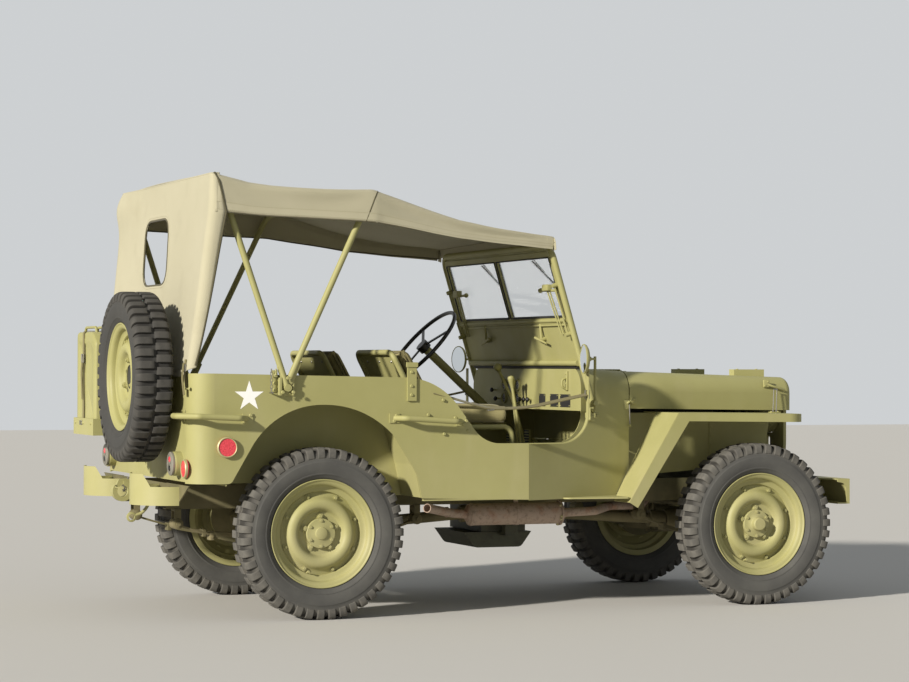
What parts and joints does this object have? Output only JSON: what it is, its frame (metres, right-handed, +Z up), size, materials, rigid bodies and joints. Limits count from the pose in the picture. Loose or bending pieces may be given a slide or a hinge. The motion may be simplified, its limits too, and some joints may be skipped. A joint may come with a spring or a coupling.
{
  "type": "four-wheel-drive army car",
  "caption": "Open quarter-ton army 4x4 car in olive drab with its canvas top up, spare wheel and fuel can at the back; wheels, steering and hood move.",
  "frame": {"origin": "on the ground under the middle of the car's length and width", "axes": "+X forward along the car, +Y to the car's left, +Z up; the rear axle is at x -0.875 m and the front axle at x +1.157 m"},
  "size_m": [3.31, 1.574, 1.836],
  "materials": {
    "body_paint": "semi-matt olive drab paint",
    "chassis_paint": "dusty matt olive paint",
    "top_canvas": "matt sun-bleached canvas",
    "seat_canvas": "matt khaki canvas",
    "tyre_rubber": "dusty black rubber",
    "clear_glass": "clear flat glass",
    "mirror_face": "silvered glass",
    "red_reflector": "glossy red",
    "dark_plastic": "matt painted rim",
    "cast_iron": "painted castings with grime",
    "exhaust_iron": "rusty sheet steel"
  },
  "bodies": {
    "chassis": {"frame": "chassis_paint", "front_bumper": "body_paint", "rear_bumperettes": "body_paint", "pintle_hook": "body_paint", "rear_axle": "chassis_paint", "front_axle": "chassis_paint", "leaf_springs": "chassis_paint", "engine_block": "cast_iron", "radiator": "chassis_paint", "gearbox": "cast_iron", "prop_shafts": "chassis_paint", "exhaust": "exhaust_iron", "tub_floor": "body_paint", "wheelhouses": "body_paint", "tunnel": "body_paint", "toe_board": "body_paint", "dampers": "chassis_paint", "side_right": "body_paint", "side_left": "body_paint", "rear_panel": "body_paint", "cowl": "body_paint", "fender_right": "body_paint", "fender_left": "body_paint", "grille": "body_paint", "headlamps": "body_paint", "windscreen_frame": "body_paint", "windscreen_glass": "clear_glass", "canvas_top": "top_canvas", "top_bows": "body_paint", "driver_seat_frame": "body_paint", "driver_seat_pads": "seat_canvas", "passenger_seat_frame": "body_paint", "passenger_seat_pads": "seat_canvas", "rear_seat_frame": "body_paint", "rear_seat_pads": "seat_canvas", "steering_column": "body_paint", "levers_and_pedals": "body_paint", "fuel_can": "body_paint", "can_rack": "body_paint", "spare_tyre": "tyre_rubber", "spare_wheel": "body_paint", "tail_lamps": "body_paint", "reflectors": "red_reflector", "mirrors": "body_paint", "mirror_glass": "mirror_face"},
    "hood": {"hood": "body_paint"},
    "steering_wheel": {"steering_wheel": "dark_plastic"},
    "knuckle_left": {"knuckle_left": "chassis_paint"},
    "knuckle_right": {"knuckle_right": "chassis_paint"},
    "tie_rod": {"tie_rod": "chassis_paint"},
    "wheel_front_left": {"tyre_front_left": "tyre_rubber", "wheel_front_left": "body_paint"},
    "wheel_front_right": {"tyre_front_right": "tyre_rubber", "wheel_front_right": "body_paint"},
    "wheel_rear_left": {"tyre_rear_left": "tyre_rubber", "wheel_rear_left": "body_paint"},
    "wheel_rear_right": {"tyre_rear_right": "tyre_rubber", "wheel_rear_right": "body_paint"}
  },
  "joints": [
    {"name": "wheel_front_left_spin", "type": "hinge", "parent": "knuckle_left", "child": "wheel_front_left", "pos_m": [1.157, 0.6223, 0.356], "axis": [0, 1, 0], "continuous": true},
    {"name": "wheel_front_right_spin", "type": "hinge", "parent": "knuckle_right", "child": "wheel_front_right", "pos_m": [1.157, -0.6223, 0.356], "axis": [0, 1, 0], "continuous": true},
    {"name": "wheel_rear_left_spin", "type": "hinge", "parent": "chassis", "child": "wheel_rear_left", "pos_m": [-0.875, 0.6223, 0.356], "axis": [0, 1, 0], "continuous": true},
    {"name": "wheel_rear_right_spin", "type": "hinge", "parent": "chassis", "child": "wheel_rear_right", "pos_m": [-0.875, -0.6223, 0.356], "axis": [0, 1, 0], "continuous": true},
    {"name": "steer_left", "type": "hinge", "parent": "chassis", "child": "knuckle_left", "pos_m": [1.157, 0.5, 0.356], "axis": [0, 0, 1], "range_deg": [-27, 27]},
    {"name": "steer_right", "type": "hinge", "parent": "chassis", "child": "knuckle_right", "pos_m": [1.157, -0.5, 0.356], "axis": [0, 0, 1], "range_deg": [-27, 27]},
    {"name": "tie_rod_swing", "type": "hinge", "parent": "knuckle_left", "child": "tie_rod", "pos_m": [0.967, 0.5, 0.431], "axis": [0, 0, 1], "range_deg": [-27, 27]},
    {"name": "steering_wheel_turn", "type": "hinge", "parent": "chassis", "child": "steering_wheel", "pos_m": [-0.045, 0.36, 1.145], "axis": [-0.7431, 0, 0.6691], "range_deg": [-351, 351]},
    {"name": "hood_lift", "type": "hinge", "parent": "chassis", "child": "hood", "pos_m": [0.593, 0, 1.034], "axis": [0, -1, 0], "range_deg": [0, 100]}
  ],
  "couplings": [
    {"joint": "steer_right", "follows": "steer_left", "ratio": 1},
    {"joint": "tie_rod_swing", "follows": "steer_left", "ratio": -1},
    {"joint": "steering_wheel_turn", "follows": "steer_left", "ratio": 13}
  ]
}
